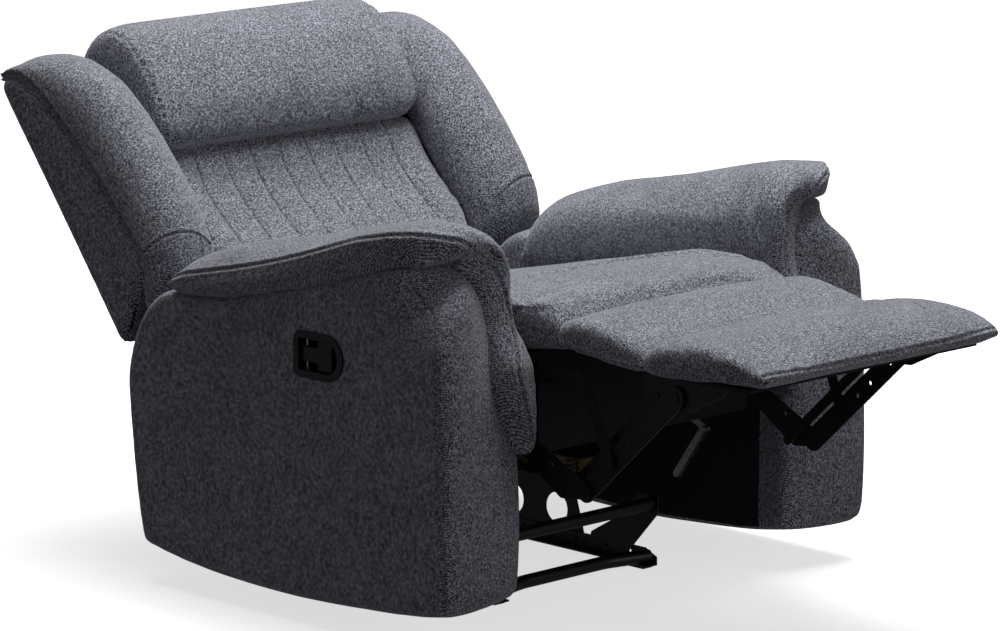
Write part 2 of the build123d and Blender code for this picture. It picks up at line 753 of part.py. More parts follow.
def headrest_pillow():
    rise = back_top - pillow_low - 12
    face = back_profile([(-74, pillow_low + 12), (3, pillow_low), (40, pillow_low + 26),
                         (58, pillow_low + 90), (54, pillow_low + 160), (36, pillow_low + rise),
                         (10, pillow_low + rise + 26), (-60, pillow_low + rise + 30),
                         (-96, pillow_low + rise + 20), (-98, back_top + fit), (fit, back_top + fit),
                         (fit, back_top - cover_skin - fit), (-74, back_top - cover_skin - fit)])
    return leaned(slab(face, -cushion_half, cushion_half))


def lumbar_cushion():
    face = back_profile([(-74, 100), (-40, 92), (-24, 130), (-22, 281), (-30, 341), (-18, 400),
                         (0, pillow_low - 3), (-74, pillow_low + 8)])
    return leaned(slab(face, -cushion_half, cushion_half))


# ---------------------------------------------------------------- assembly
def make_frame():
    nodes = pair("seat_rail", seat_rail())
    nodes.update(pair("mech_plate", mech_plate()))
    nodes.update(pair("rocker_cam", rocker_cam()))
    nodes.update(pair("arm_pad", arm_pad()))
    nodes["cam_shelves"] = both([cam_shelf()])
    nodes["seat_rail_front"] = seat_rail_front()
    nodes["seat_rail_rear"] = seat_rail_rear()
    nodes["seat_springs"] = seat_springs()
    nodes["frame_pins"] = frame_pins()
    nodes["plated_struts"] = plated_struts()
    nodes["arm_cover_left"] = arm_cover(1)
    nodes["arm_cover_right"] = arm_cover(-1)
    nodes["arm_frame_left"] = arm_frame(1)
    nodes["arm_frame_right"] = arm_frame(-1)
    nodes["seat_cushion"] = seat_cushion()
    nodes["chaise_pad"] = chaise_pad()
    nodes["handle_bezel"] = handle_bezel()
    nodes["handle_pin"] = handle_pin()
    nodes["release_cable"] = release_cable()
    return nodes


def make_linkage():
    nodes = pair("lower_link", lower_link())
    nodes.update(pair("wide_link", wide_link()))
    nodes.update(pair("hooked_link", hooked_link()))
    nodes.update(pair("rest_bracket", rest_bracket()))
    nodes["control_rods"] = both([control_rod()])
    nodes["drive_tube"] = drive_tube()
    nodes["lower_link_pins"] = lower_link_pins()
    nodes["wide_link_pins"] = wide_link_pins()
    nodes["rest_pins"] = rest_pins()
    nodes["rest_board"] = rest_board()
    nodes["rest_pad"] = rest_pad()
    return nodes


def make_back():
    nodes = pair("back_hinge_bracket", back_hinge_bracket())
    nodes.update(pair("back_wing", wing()))
    nodes["back_stiles"] = back_stiles()
    nodes["back_rails"] = back_rails()
    nodes["back_cover"] = back_cover()
    nodes["headrest_pillow"] = headrest_pillow()
    nodes["lumbar_cushion"] = lumbar_cushion()
    return nodes


def make_all():
    nodes = make_base()
    nodes.update(make_frame())
    nodes.update(make_linkage())
    nodes.update(make_back())
    nodes["handle"] = handle()
    nodes["latch_hook"] = mirrored(latch_hook())
    return nodes


nodes = make_all()
boxes = [shape.bounding_box() for shape in nodes.values()]
front_end = min(b.min.Y for b in boxes)
rear_end = max(b.max.Y for b in boxes)
origin_shift = -(front_end + rear_end) / 2     # puts the origin under the middle of the chair



def placed(shape):
    """The shape in its final place, solid by solid."""
    solids = [Pos(0, origin_shift, 0) * solid for solid in shape.solids()]
    return solids[0] if len(solids) == 1 else Compound(solids)


os.makedirs("parts", exist_ok=True)
for name, shape in nodes.items():
    export_step(placed(shape), f"parts/{name}.step")
print(len(nodes), "nodes; origin shift", round(origin_shift, 3))
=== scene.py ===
# %% [markdown]
# # A rocker recliner in heather cloth
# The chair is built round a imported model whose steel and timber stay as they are. This file adds what an
# upholsterer adds: the skins of the arms, the stuffed pads, the seams and their stitches, and every finish.

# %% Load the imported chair
import bpy
import bmesh
import json
import math
import numpy as np
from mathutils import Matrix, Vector
from mathutils.bvhtree import BVHTree
from mathutils.kdtree import KDTree


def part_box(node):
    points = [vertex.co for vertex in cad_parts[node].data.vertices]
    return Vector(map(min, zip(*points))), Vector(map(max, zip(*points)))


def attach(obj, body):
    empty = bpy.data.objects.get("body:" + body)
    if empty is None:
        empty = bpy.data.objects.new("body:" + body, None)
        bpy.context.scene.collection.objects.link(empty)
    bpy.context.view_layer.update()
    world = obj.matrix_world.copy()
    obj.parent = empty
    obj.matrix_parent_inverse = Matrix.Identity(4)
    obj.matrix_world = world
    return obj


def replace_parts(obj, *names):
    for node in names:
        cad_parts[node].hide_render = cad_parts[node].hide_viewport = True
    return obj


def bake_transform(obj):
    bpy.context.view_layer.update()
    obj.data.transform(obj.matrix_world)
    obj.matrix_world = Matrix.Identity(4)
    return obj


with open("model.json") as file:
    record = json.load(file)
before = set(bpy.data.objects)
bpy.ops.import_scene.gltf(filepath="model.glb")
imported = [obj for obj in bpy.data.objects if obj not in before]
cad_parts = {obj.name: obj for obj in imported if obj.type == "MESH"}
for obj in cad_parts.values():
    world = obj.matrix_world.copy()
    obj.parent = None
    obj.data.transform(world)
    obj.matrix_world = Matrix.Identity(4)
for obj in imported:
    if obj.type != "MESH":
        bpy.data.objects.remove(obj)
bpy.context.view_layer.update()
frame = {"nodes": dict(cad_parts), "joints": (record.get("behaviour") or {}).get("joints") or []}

# %% [markdown]
# Upholstery outlines are drawn in millimetres, as (x, y, z) from one drawing origin: the middle of the chair,
# on the floor, a fixed way ahead of the arms' rear edge. Everything that leans with the back is drawn on the
# back's own axes instead: x across, u up the back and v out of it, from the hinge that carries it.

# %% Drawing origin and the leaning axes of the back
arm_rear = 349
plan_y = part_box("arm_cover_left")[1].y * 1000 - arm_rear
recline = next(joint for joint in frame["joints"] if joint["name"] == "recline")
hinge_y = recline["pos_m"][1] * 1000 - plan_y
hinge_z = recline["pos_m"][2] * 1000
back_lean = math.radians(38)
arm_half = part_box("arm_cover_left")[1].x * 1000
arm_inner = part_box("arm_cover_left")[0].x * 1000


def on_back(x, u, v):
    """A point of the back in drawing coordinates."""
    return (
        x,
        hinge_y + u * math.sin(back_lean) - v * math.cos(back_lean),
        hinge_z + u * math.cos(back_lean) + v * math.sin(back_lean),
    )


print("drawing origin at y", round(plan_y, 1), "back hinge at", round(hinge_y), round(hinge_z))

# %% [markdown]
# Curves are drawn through a few given points. A Catmull-Rom curve passes through every one of them, so
# an outline needs only the points that give it its shape.

# %% Smooth curves through a few points
def curve_through(points, count, closed=False):
    """count evenly spaced points on a smooth curve through the given ones."""
    p = np.asarray(points, float)
    if closed:
        p = np.vstack([p[-1], p, p[0], p[1]])
    else:
        p = np.vstack([2 * p[0] - p[1], p, 2 * p[-1] - p[-2]])
    t = np.linspace(0, 1, 24, endpoint=False)[:, None]
    spans = []
    for a, b, c, d in zip(p[:-3], p[1:-2], p[2:-1], p[3:]):
        spans.append(0.5 * (2 * b + (c - a) * t + (2 * a - 5 * b + 4 * c - d) * t**2
                            + (3 * b - a - 3 * c + d) * t**3))
    fine = np.vstack(spans + [p[-2][None]])
    run = np.r_[0, np.cumsum(np.linalg.norm(np.diff(fine, axis=0), axis=1))]
    at = np.linspace(0, run[-1], count, endpoint=not closed)
    return np.stack([np.interp(at, run, fine[:, k]) for k in range(fine.shape[1])], axis=1)


def value_along(pairs, at):
    """Reads a smooth graph, given as (position, value) pairs with rising positions."""
    pairs = np.asarray(pairs, float)
    fine = curve_through(pairs, 200)
    return np.interp(at, fine[:, 0], fine[:, 1])


# %% [markdown]
# ## Finishes
# Every material is a small node tree. One helper adds a node, sets it and joins it up. Colours are written
# as the hex values a maker would pick from a swatch, and one function turns them into linear light.

# %% Colour and node helpers
def swatch(code):
    """An sRGB hex colour as linear RGBA."""
    parts = [int(code[i:i + 2], 16) / 255 for i in (1, 3, 5)]
    linear = [c / 12.92 if c <= 0.04045 else ((c + 0.055) / 1.055) ** 2.4 for c in parts]
    return (*linear, 1.0)


def add(tree, kind, settings=None, **sockets):
    """Adds a node. Settings are its properties; sockets take a value or another node's output."""
    node = tree.nodes.new(kind)
    for key, value in (settings or {}).items():
        setattr(node, key, value)
    for key, value in sockets.items():
        socket = node.inputs[int(key[1:])] if key[0] == "_" else node.inputs[key.replace("_", " ")]
        if isinstance(value, bpy.types.NodeSocket):
            tree.links.new(value, socket)
        else:
            socket.default_value = value
    return node


def new_finish(name, **shader_values):
    """A material whose shader has its constants set on its own sockets, with its tree and its shader."""
    finish = bpy.data.materials.new(name)
    finish.use_nodes = True
    tree = finish.node_tree
    tree.nodes.clear()
    shader = add(tree, "ShaderNodeBsdfPrincipled")
    for key, value in shader_values.items():
        shader.inputs[key.replace("_", " ")].default_value = value
    add(tree, "ShaderNodeOutputMaterial", Surface=shader.outputs[0])
    return finish, tree, shader


def ramp(tree, factor, stops):
    """A colour ramp with (position, colour) stops."""
    node = add(tree, "ShaderNodeValToRGB", Fac=factor)
    while len(node.color_ramp.elements) < len(stops):
        node.color_ramp.elements.new(0.5)
    for element, (position, colour) in zip(node.color_ramp.elements, stops):
        element.position = position
        element.color = colour
    return node.outputs[0]


# %% [markdown]
# The cover is a woven polyester chenille: light and dark yarns are spun together before weaving, so each
# thread shows flecks, and the twill binding draws fine diagonals. The yarn is about 0.8 mm thick, finer than
# a picture of the whole chair can hold, so the flecks here are drawn about twice as coarse. A solid pattern
# is used, with no flat map to stretch: yarn flecks are noise squeezed one way for warp and the other for
# weft, and the twill is one set of planes that leaves diagonals on whichever side of the chair it cuts.

# %% Heather upholstery cloth
fleck_mm = 2.1
twill_mm = 3.0
cloth_light = swatch("#cbccd8")
cloth_middle = swatch("#74767f")
cloth_dark = swatch("#1b1c22")


def yarn_flecks(tree, place, stretch):
    """Noise squeezed along one way, as flecks on yarns that run that way."""
    squeezed = add(tree, "ShaderNodeMapping", Vector=place, Scale=stretch).outputs[0]
    return add(tree, "ShaderNodeTexNoise", Vector=squeezed, Scale=1000 / fleck_mm, Detail=2.0,
               Roughness=0.6).outputs[0]


def bands_per_metre(spacing_mm):
    """The wave texture's scale for diagonal bands that are spacing_mm apart on a flat side."""
    return 2 * math.pi * 1000 / (10 * spacing_mm * math.sqrt(2))


def heather_cloth(name, light, middle, dark, tone=1.0):
    finish, tree, shader = new_finish(name, Roughness=0.95, Specular_IOR_Level=0.2, Sheen_Weight=0.25,
                                      Sheen_Roughness=0.5)
    place = add(tree, "ShaderNodeTexCoord").outputs["Object"]
    warp = yarn_flecks(tree, place, (1.0, 0.8, 0.5))
    weft = yarn_flecks(tree, place, (0.6, 1.0, 1.0))
    twill = add(tree, "ShaderNodeTexWave", {"bands_direction": "DIAGONAL"}, Vector=place,
                Scale=bands_per_metre(twill_mm), Distortion=1.5, Detail=1.0, Detail_Scale=3.0).outputs["Fac"]
    pick = add(tree, "ShaderNodeMix", Factor=0.5, _2=warp, _3=weft).outputs[0]
    pick = add(tree, "ShaderNodeMix", Factor=0.10, _2=pick, _3=twill).outputs[0]
    yarn = ramp(tree, pick, [(0.41, dark), (0.51, middle), (0.62, light)])
    patch = add(tree, "ShaderNodeTexNoise", Vector=place, Scale=14.0, Detail=3.0).outputs[0]
    wear = add(tree, "ShaderNodeMapRange", Value=patch, _1=0.3, _2=0.7, _3=0.90 * tone, _4=1.08 * tone)
    shade = add(tree, "ShaderNodeVectorMath", {"operation": "SCALE"}, _0=yarn, Scale=wear.outputs[0])
    tree.links.new(shade.outputs[0], shader.inputs["Base Color"])
    bump = add(tree, "ShaderNodeBump", Strength=0.55, Distance=0.0008, Height=pick)
    tree.links.new(bump.outputs[0], shader.inputs["Normal"])
    return finish


cloth = heather_cloth("heather woven polyester", cloth_light, cloth_middle, cloth_dark)
thread, thread_tree, thread_shader = new_finish("bonded nylon thread", Roughness=0.6, Sheen_Weight=0.1)
thread_twist = add(thread_tree, "ShaderNodeTexNoise", Scale=900.0,
                   Vector=add(thread_tree, "ShaderNodeTexCoord").outputs["Object"]).outputs[0]
thread_tree.links.new(ramp(thread_tree, thread_twist, [(0.3, swatch("#3c3e47")), (0.7, swatch("#777a86"))]),
                      thread_shader.inputs["Base Color"])
print("cloth flecks", fleck_mm, "mm, twill", twill_mm, "mm")

# %% [markdown]
# The other finishes are quieter. Powder coat is satin with a fine orange peel, zinc plate is bright with
# cloudy crystals, spring wire is oiled and dark, moulded ABS has a spark-eroded grain, and the hidden timber
# is birch plywood and sawn pine. Lining is a black spun-bonded cloth with small bonding dimples.

# %% Finishes for steel, plastic, timber and lining
def grained_finish(name, low, high, grain_mm, roughness, bump_mm, metallic=0.0, stretch=(1, 1, 1), **more):
    """Two shades mixed by a fine noise that also lifts the surface and varies its gloss."""
    finish, tree, shader = new_finish(name, Metallic=metallic, **more)
    place = add(tree, "ShaderNodeTexCoord").outputs["Object"]
    place = add(tree, "ShaderNodeMapping", Vector=place, Scale=stretch).outputs[0]
    grain = add(tree, "ShaderNodeTexNoise", Vector=place, Scale=1000 / grain_mm, Detail=3.0).outputs[0]
    tree.links.new(ramp(tree, grain, [(0.3, swatch(low)), (0.7, swatch(high))]), shader.inputs["Base Color"])
    gloss = add(tree, "ShaderNodeMapRange", Value=grain, _1=0.3, _2=0.7, _3=roughness - 0.06,
                _4=roughness + 0.06)
    tree.links.new(gloss.outputs[0], shader.inputs["Roughness"])
    bump = add(tree, "ShaderNodeBump", Strength=0.4, Distance=bump_mm / 1000, Height=grain)
    tree.links.new(bump.outputs[0], shader.inputs["Normal"])
    return finish


finishes = {
    "upholstery": cloth,
    "lined_timber": grained_finish("black spun-bonded lining", "#0b0b0d", "#17171a", 2.5, 0.85, 0.2),
    "plywood": grained_finish("birch plywood", "#b08c5c", "#cfae7c", 22, 0.6, 0.1, stretch=(1, 0.08, 1)),
    "timber": grained_finish("sawn pine", "#a67e4c", "#c9a36b", 18, 0.65, 0.15, stretch=(1, 0.08, 1)),
    "black_plastic": grained_finish("moulded black ABS", "#0d0e10", "#15161a", 0.9, 0.5, 0.05, IOR=1.53),
    "black_steel": grained_finish("black powder coat", "#08080a", "#101013", 1.5, 0.42, 0.05, IOR=1.5),
    "zinc_plate": grained_finish("bright zinc plate", "#a9adb3", "#c6c9ce", 7, 0.32, 0.01, metallic=1.0),
    "spring_steel": grained_finish("oiled spring wire", "#45474b", "#5d6066", 3, 0.38, 0.02, metallic=1.0),
}
for node in frame["nodes"].values():
    for place in node.material_slots:
        place.material = finishes[place.material.name.split(".")[0]]
lining = finishes["lined_timber"]
print("finishes", sorted(finishes))

# %% [markdown]
# ## Camera, light and floor
# The long lens stands well back, so the chair keeps its proportions. One large softbox hangs over the chair,
# a weaker one stands in front of it, and the world gives a little light from all round. The floor glows a
# little and sends no light back to the chair, so the sides stay dark against a pale ground.

# %% Camera
view_azimuth = math.radians(-44.4)
view_elevation = math.radians(11.1)
view_distance = 8.218
aim = Vector((0.0621, 0.0392 + plan_y / 1000, 0.4041))
toward_camera = Vector((math.sin(view_azimuth) * math.cos(view_elevation),
                        -math.cos(view_azimuth) * math.cos(view_elevation), math.sin(view_elevation)))
camera = bpy.data.objects.new("camera", bpy.data.cameras.new("camera"))
camera.data.lens = 180
camera.data.sensor_width = 36
camera.data.clip_end = 60
camera.location = aim + toward_camera * view_distance
camera.rotation_euler = (-toward_camera).to_track_quat("-Z", "Y").to_euler()
bpy.context.scene.collection.objects.link(camera)
bpy.context.scene.camera = camera
bpy.context.scene.view_settings.view_transform = "Standard"


# %% Softboxes, world and floor
def softbox(name, place, target, size, power):
    lamp = bpy.data.lights.new(name, "AREA")
    lamp.shape = "RECTANGLE"
    lamp.size, lamp.size_y = size
    lamp.energy = power
    box = bpy.data.objects.new(name, lamp)
    box.location = place
    box.rotation_euler = (Vector(target) - Vector(place)).to_track_quat("-Z", "Y").to_euler()
    bpy.context.scene.collection.objects.link(box)
    return box


softbox("overhead softbox", (0.5, 0.3, 3.4), (0.0, 0.0, 0.4), (2.6, 2.2), 125)
softbox("front softbox", (0.9, -4.2, 1.5), (0.0, 0.0, 0.5), (2.0, 1.6), 18)

world = bpy.data.worlds.new("studio")
world.use_nodes = True
world.node_tree.nodes.clear()
sky = add(world.node_tree, "ShaderNodeBackground", Color=swatch("#f4f6fb"), Strength=0.11)
add(world.node_tree, "ShaderNodeOutputWorld", Surface=sky.outputs[0])
bpy.context.scene.world = world

floor_finish, floor_tree, floor_shader = new_finish("pale studio floor", Roughness=0.8)
floor_place = add(floor_tree, "ShaderNodeTexCoord").outputs["Object"]
floor_grain = add(floor_tree, "ShaderNodeTexNoise", Vector=floor_place, Scale=3.0).outputs[0]
floor_tree.links.new(ramp(floor_tree, floor_grain, [(0.3, swatch("#f3f3f3")), (0.7, swatch("#f6f6f6"))]),
                     floor_shader.inputs["Base Color"])
floor_reach = add(floor_tree, "ShaderNodeVectorMath", {"operation": "LENGTH"},
                  _0=floor_place).outputs["Value"]
floor_glow = add(floor_tree, "ShaderNodeMapRange", Value=floor_reach, _1=0.9, _2=3.5, _3=0.66, _4=1.0)
floor_tree.links.new(floor_glow.outputs[0], floor_shader.inputs["Emission Strength"])
floor_shader.inputs["Emission Color"].default_value = swatch("#ffffff")
floor_half = 30
floor_mesh = bpy.data.meshes.new("studio_floor")
floor_mesh.from_pydata([(-floor_half, -floor_half, 0), (floor_half, -floor_half, 0),
                        (floor_half, floor_half, 0), (-floor_half, floor_half, 0)], [], [(0, 1, 2, 3)])
floor_mesh.materials.append(floor_finish)
floor = bpy.data.objects.new("studio_floor", floor_mesh)
floor.visible_diffuse = False
floor.visible_glossy = False
bpy.context.scene.collection.objects.link(floor)

# %% [markdown]
# ## Making stuffed pieces
# A cushion could be sculpted, built from subdivided boxes, or blown up like the real one. Here each starts as
# a rough loft of a few cross-sections. A voxel remesh gives it one even skin, smoothing rounds the edges, and
# cloth simulation with inner pressure then swells the skin between its sewn lines, which are held in place.
# Seams are pulled in afterwards on a mesh refined only near them, because a remesh would erase them.

# %% Lofts, skins and measuring
def link_piece(name, points_mm, faces, finish=cloth):
    """A new mesh piece from points in drawing coordinates."""
    points = (np.asarray(points_mm, float) + [0, plan_y, 0]) / 1000
    mesh = bpy.data.meshes.new(name)
    mesh.from_pydata(points.tolist(), [], [list(map(int, face)) for face in faces])
    mesh.materials.append(finish)
    piece = bpy.data.objects.new(name, mesh)
    bpy.context.scene.collection.objects.link(piece)
    return piece


def loft(name, rings, finish=cloth):
    """A closed skin through rings of equally many points."""
    rings = np.asarray(rings, float)
    count, around = rings.shape[:2]
    faces = [(k * around + i, k * around + (i + 1) % around, (k + 1) * around + (i + 1) % around,
              (k + 1) * around + i) for k in range(count - 1) for i in range(around)]
    faces += [tuple(range(around))[::-1], tuple(range((count - 1) * around, count * around))]
    piece = link_piece(name, rings.reshape(-1, 3), faces, finish)
    shell = bmesh.new()
    shell.from_mesh(piece.data)
    bmesh.ops.recalc_face_normals(shell, faces=shell.faces)
    shell.to_mesh(piece.data)
    shell.free()
    return piece


def bake_modifiers(piece):
    """Turns what the modifiers make into the piece's own mesh."""
    graph = bpy.context.evaluated_depsgraph_get()
    baked = bpy.data.meshes.new_from_object(piece.evaluated_get(graph), depsgraph=graph)
    piece.modifiers.clear()
    piece.data = baked
    return piece


def even_skin(piece, voxel_mm, rounds):
    """One even skin over the piece, with its edges rounded by smoothing."""
    remesh = piece.modifiers.new("skin", "REMESH")
    remesh.mode = "VOXEL"
    remesh.voxel_size = voxel_mm / 1000
    remesh.use_smooth_shade = True
    smooth = piece.modifiers.new("round", "SMOOTH")
    smooth.factor = 0.5
    smooth.iterations = rounds
    return bake_modifiers(piece)


def points_of(piece):
    co = np.empty(len(piece.data.vertices) * 3)
    piece.data.vertices.foreach_get("co", co)
    return co.reshape(-1, 3) * 1000 - [0, plan_y, 0]


def normals_of(piece):
    co = np.empty(len(piece.data.vertices) * 3)
    piece.data.vertices.foreach_get("normal", co)
    return co.reshape(-1, 3)


def move_points(piece, points_mm):
    piece.data.vertices.foreach_set("co", ((points_mm + [0, plan_y, 0]) / 1000).ravel())
    piece.data.update()


def distance_to(paths, points):
    """Distance from each point to the nearest of the paths, each a dense array of points."""
    dense = np.vstack(paths)
    tree = KDTree(len(dense))
    for k, p in enumerate(dense):
        tree.insert(p, k)
    tree.balance()
    return np.array([tree.find(p)[2] for p in points])


# %% Swelling, refining and seams
swell_steps = 20


def stuffed(piece, cap_mm, seams=(), hold_mm=9, pressure=4.0):
    """Blows the skin up from inside. Seams stay where they are, and no point moves further than the cap."""
    start = points_of(piece)
    cloth_modifier = piece.modifiers.new("stuffing", "CLOTH")
    settings = cloth_modifier.settings
    settings.use_pressure = True
    settings.uniform_pressure_force = pressure
    settings.effector_weights.gravity = 0
    settings.quality = 4
    if len(seams):
        held = piece.vertex_groups.new(name="seams")
        near = distance_to(seams, start)
        for index in np.nonzero(near < hold_mm * 1.5)[0]:
            held.add([int(index)], float(np.clip(1.5 - near[index] / hold_mm, 0, 1)), "REPLACE")
        settings.vertex_group_mass = "seams"
    for step in range(1, swell_steps + 1):
        bpy.context.scene.frame_set(step)
    graph = bpy.context.evaluated_depsgraph_get()
    swollen = piece.evaluated_get(graph).to_mesh()
    co = np.empty(len(swollen.vertices) * 3)
    swollen.vertices.foreach_get("co", co)
    moved = co.reshape(-1, 3) * 1000 - [0, plan_y, 0] - start
    piece.evaluated_get(graph).to_mesh_clear()
    piece.modifiers.clear()
    piece.vertex_groups.clear()
    bpy.context.scene.frame_set(1)
    far = np.linalg.norm(moved, axis=1, keepdims=True)
    move_points(piece, start + moved * np.minimum(1, cap_mm / np.maximum(far, 1e-6)))
    print(f"{piece.name}: swelled by up to {min(far.max(), cap_mm):.1f} mm")
    return piece


def refined(piece, paths, reach_mm=13, passes=1):
    """Splits the faces near the paths so that a seam can be pressed into them."""
    for _ in range(passes):
        near = distance_to(paths, points_of(piece)) < reach_mm
        skin = bmesh.new()
        skin.from_mesh(piece.data)
        skin.verts.ensure_lookup_table()
        edges = [e for e in skin.edges if near[e.verts[0].index] and near[e.verts[1].index]]
        bmesh.ops.subdivide_edges(skin, edges=edges, cuts=1, use_grid_fill=True, smooth=0.6)
        bmesh.ops.triangulate(skin, faces=[f for f in skin.faces if len(f.verts) > 4])
        skin.to_mesh(piece.data)
        skin.free()
    piece.data.polygons.foreach_set("use_smooth", [True] * len(piece.data.polygons))
    return piece


def pressed(piece, paths, depth_mm, width_mm, ridge_mm=0.0):
    """Pulls the skin in along the paths, as thread does, with a slight rise on both sides."""
    points, normals = points_of(piece), normals_of(piece)
    d = distance_to(paths, points)
    push = -depth_mm * np.exp(-((d / width_mm) ** 2))
    push += ridge_mm * np.exp(-(((d - 2.4 * width_mm) / (1.2 * width_mm)) ** 2))
    move_points(piece, points + normals * push[:, None])
    return piece


def on_skin(piece, path, lift_mm=0.0):
    """The path's points, brought onto the piece's skin."""
    skin = BVHTree.FromPolygons([tuple(p) for p in points_of(piece)],
                                [tuple(f.vertices) for f in piece.data.polygons])
    found = [skin.find_nearest(Vector(p)) for p in path]
    return np.array([tuple(place + normal * lift_mm) for place, normal, _, _ in found])


# %% [markdown]
# Stitches are the smallest thing on the chair and there are thousands of them, so Geometry Nodes lay them:
# each line of sewing is a curve, resampled at the stitch length, with one short capsule of thread at every
# point, turned along the line. The lines of one body are joined and leave the tree as one plain mesh.

# %% Stitches by Geometry Nodes
stitch_length_mm = 7.0
stitch_gap_mm = 2.2
thread_mm = 1.1


def stitch_tree():
    tree = bpy.data.node_groups.new("stitches", "GeometryNodeTree")
    tree.interface.new_socket("Lines", in_out="INPUT", socket_type="NodeSocketGeometry")
    for name in ("Pitch", "Length", "Thread"):
        tree.interface.new_socket(name, in_out="INPUT", socket_type="NodeSocketFloat")
    tree.interface.new_socket("Stitches", in_out="OUTPUT", socket_type="NodeSocketGeometry")
    given = add(tree, "NodeGroupInput").outputs
    points = add(tree, "GeometryNodeCurveToPoints", {"mode": "LENGTH"}, _0=given["Lines"],
                 Length=given["Pitch"])
    capsule = add(tree, "GeometryNodeMeshUVSphere", Segments=6, Rings=4, Radius=0.5)
    size = add(tree, "ShaderNodeCombineXYZ", X=given["Thread"], Y=given["Thread"], Z=given["Length"])
    laid = add(tree, "GeometryNodeInstanceOnPoints", Points=points.outputs["Points"],
               Instance=capsule.outputs["Mesh"], Rotation=points.outputs["Rotation"], Scale=size.outputs[0])
    real = add(tree, "GeometryNodeRealizeInstances", _0=laid.outputs[0])
    finish = add(tree, "GeometryNodeSetMaterial", _0=real.outputs[0], Material=thread)
    add(tree, "NodeGroupOutput", _0=finish.outputs[0])
    return tree


stitches = stitch_tree()


def sew(name, body, lines):
    """Sews along lines, each an array of points on a skin, and makes one piece that rides on the body."""
    curve = bpy.data.curves.new(name + "_lines", "CURVE")
    curve.dimensions = "3D"
    for line in lines:
        spline = curve.splines.new("POLY")
        spline.points.add(len(line) - 1)
        for point, p in zip(spline.points, (line + [0, plan_y, 0]) / 1000):
            point.co = (*p, 1)
    guide = bpy.data.objects.new(name + "_lines", curve)
    bpy.context.scene.collection.objects.link(guide)
    sewing = guide.modifiers.new("stitches", "NODES")
    sewing.node_group = stitches
    sizes = {"Pitch": stitch_length_mm, "Length": stitch_length_mm - stitch_gap_mm, "Thread": thread_mm}
    for item in stitches.interface.items_tree:
        if item.name in sizes:
            sewing[item.identifier] = sizes[item.name] / 1000
    graph = bpy.context.evaluated_depsgraph_get()
    mesh = bpy.data.meshes.new_from_object(guide.evaluated_get(graph), depsgraph=graph)
    mesh.name = name
    bpy.data.objects.remove(guide)
    piece = bpy.data.objects.new(name, mesh)
    bpy.context.scene.collection.objects.link(piece)
    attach(piece, body)
    print(f"{name}: {len(lines)} lines, {len(mesh.polygons)} faces")
    return piece


def beside(piece, path, offset_mm):
    """A line on the skin, offset_mm to one side of the path."""
    path = on_skin(piece, path)
    skin = BVHTree.FromPolygons([tuple(p) for p in points_of(piece)],
                                [tuple(f.vertices) for f in piece.data.polygons])
    along = np.gradient(path, axis=0)
    out = np.array([tuple(skin.find_nearest(Vector(p))[1]) for p in path])
    side = np.cross(out, along)
    side /= np.maximum(np.linalg.norm(side, axis=1, keepdims=True), 1e-9)
    return on_skin(piece, path + side * offset_mm, lift_mm=0.2)


sewn = {"frame": [], "back": [], "legrest": []}


def topstitch(body, piece, path, offsets=(-4.5, 4.5)):
    """Remembers the rows of stitches beside a seam, to be sewn with the rest of that body."""
    for offset in offsets:
        sewn[body].append(beside(piece, path, offset))

# %% [markdown]
# ## The arms
# An arm is a plywood box in a fabric skin, nearly flat outside and rounded at the front, where the front
# panel bulges. The skin is lofted across the arm from one side outline, drawn in as it nears the two faces.

# %% Arm skins
arm_outline = curve_through(
    [(294, 460), (249, 487), (164, 491), (45, 512), (-72, 539), (-186, 569), (-254, 588), (-309, 590),
     (-352, 566), (-378, 520), (-392, 410), (-399, 255), (-399, 150), (-392, 78), (-372, 66), (-300, 55),
     (-182, 46), (-60, 40), (80, 41), (200, 49), (300, 64), (316, 76), (333, 166), (346, 290), (347, 345),
     (327, 412)], 260, closed=True)
# Distance from the inner face, and how far the outline is drawn in.
arm_layers = [(0, 17), (3, 11), (9, 6), (20, 2.5), (42, -1), (80, -3), (112, -4), (140, -4), (158, -3),
              (170, -1), (177, 3), (180, 7)]
face_rings = (0.25, 0.6, 0.85)  # rings on each flat face, shrunk towards its middle
side_seam = [(-283, 586), (-316, 570), (-344, 548), (-358, 519), (-366, 479), (-376, 439), (-380, 283),
             (-388, 150), (-392, 72)]
rear_seam = [(300, 452), (326, 400), (338, 340), (338, 290), (326, 166), (312, 82)]


def arm_front_shaped(ring, side):
    """Cuts back the inner front corner of the arm and rounds its outer top front."""
    x, y, z = side * ring[:, 0], ring[:, 1], ring[:, 2]
    cut = value_along([(40, 10), (250, 12), (330, 20), (420, 34), (480, 44), (520, 50), (600, 50)], z)
    back = cut * np.clip((430 - x) / 110, 0, 1) ** 1.2 * np.clip((-250 - y) / 100, 0, 1)
    tuck = np.interp(z, [490, 530, 583], [0, 18, 70]) * np.clip((-290 - y) / 60, 0, 1)
    x = x - tuck * np.clip((x - arm_inner - 60) / 120, 0, 1)
    return np.column_stack([side * x, y + back, z])


